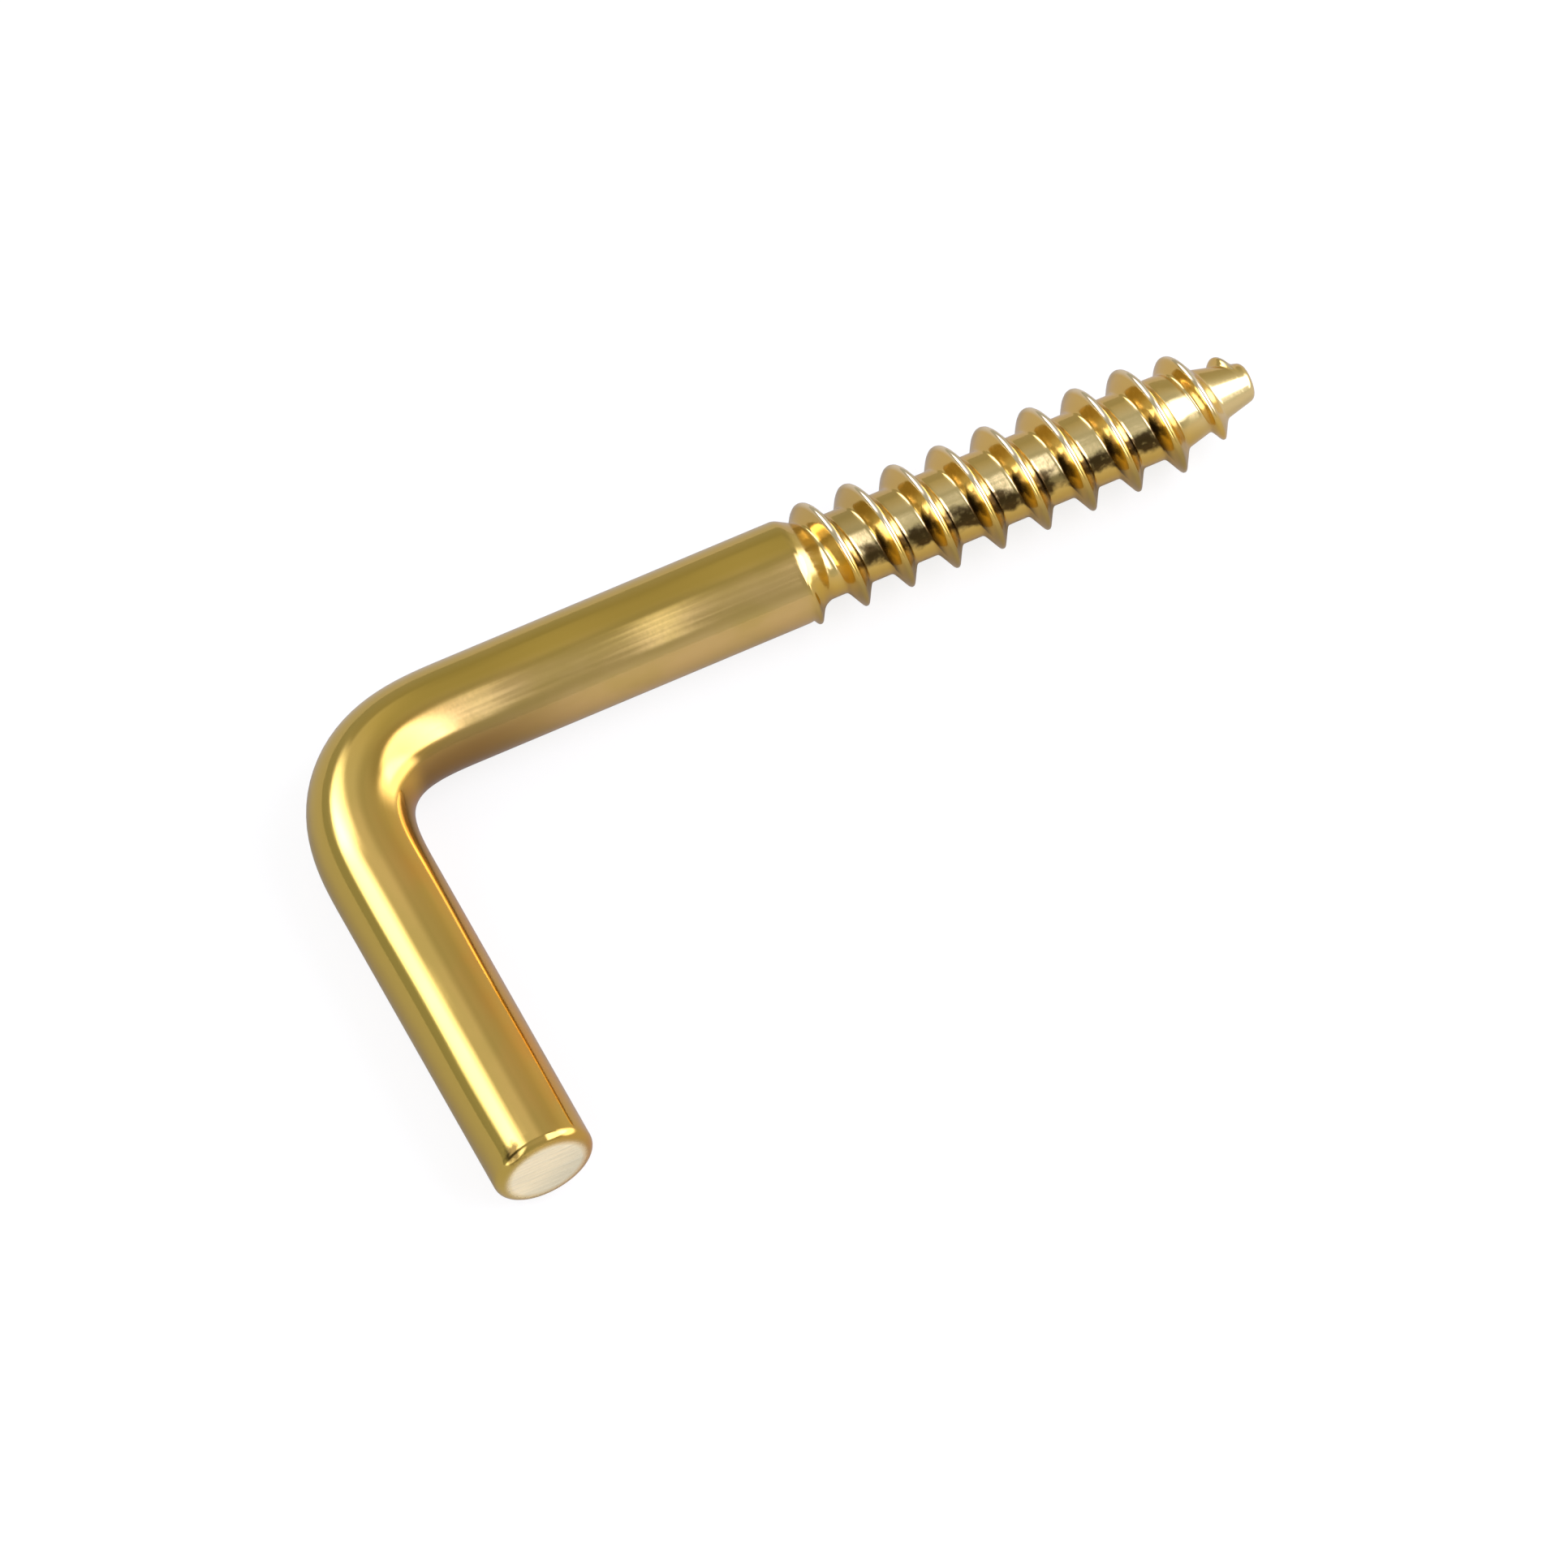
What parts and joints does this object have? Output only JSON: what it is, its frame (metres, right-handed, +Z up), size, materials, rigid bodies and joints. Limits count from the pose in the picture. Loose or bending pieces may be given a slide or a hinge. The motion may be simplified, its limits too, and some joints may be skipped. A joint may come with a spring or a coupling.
{
  "type": "square hook",
  "caption": "Square-bend screw hook of round brass-coloured wire: a plain shank and arm at a right angle, with a coarse wood-screw thread and a blunt tip.",
  "frame": {"origin": "on the shank's axis where the plain wire ends and the thread starts, which is the face of the wood once it is screwed in", "axes": "+X along the shank towards the tip, -Y along the arm towards its cut end, +Z up from the surface that the hook lies on"},
  "size_m": [0.0398, 0.0211, 0.0044],
  "materials": {
    "brass_plating": "bright brass plating, polished, with faint die lines and slight tarnish"
  },
  "bodies": {
    "root": {"square_hook": "brass_plating"}
  },
  "joints": []
}
